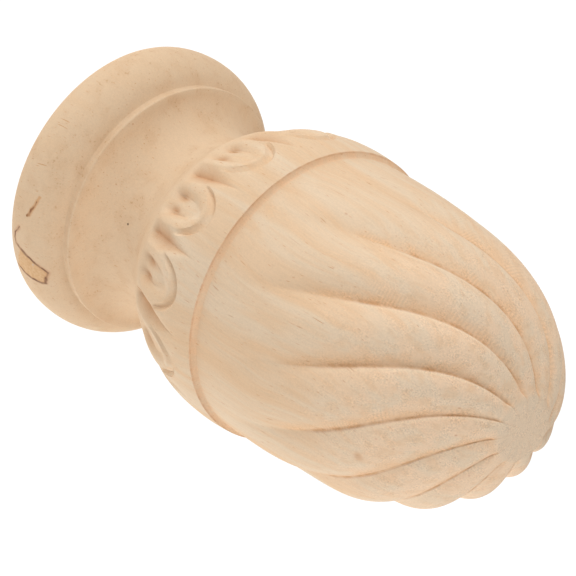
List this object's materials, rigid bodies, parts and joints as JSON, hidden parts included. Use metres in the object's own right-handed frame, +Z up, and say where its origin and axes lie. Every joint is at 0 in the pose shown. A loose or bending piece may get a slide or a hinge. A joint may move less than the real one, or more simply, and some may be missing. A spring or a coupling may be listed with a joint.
{
  "type": "pineapple finial",
  "caption": "Carved wooden finial: a round foot, hollow neck and cup with a band of crescents, under an egg-shaped top of spiral lobes.",
  "frame": {"origin": "centre of the flat underside that the finial stands on", "axes": "+Z up along the turning axis towards the tip; -Y towards the side that the picture shows"},
  "size_m": [0.0778, 0.0778, 0.15],
  "materials": {
    "bare_wood": "bare sanded wood, no varnish"
  },
  "bodies": {
    "root": {"finial": "bare_wood"}
  },
  "joints": []
}
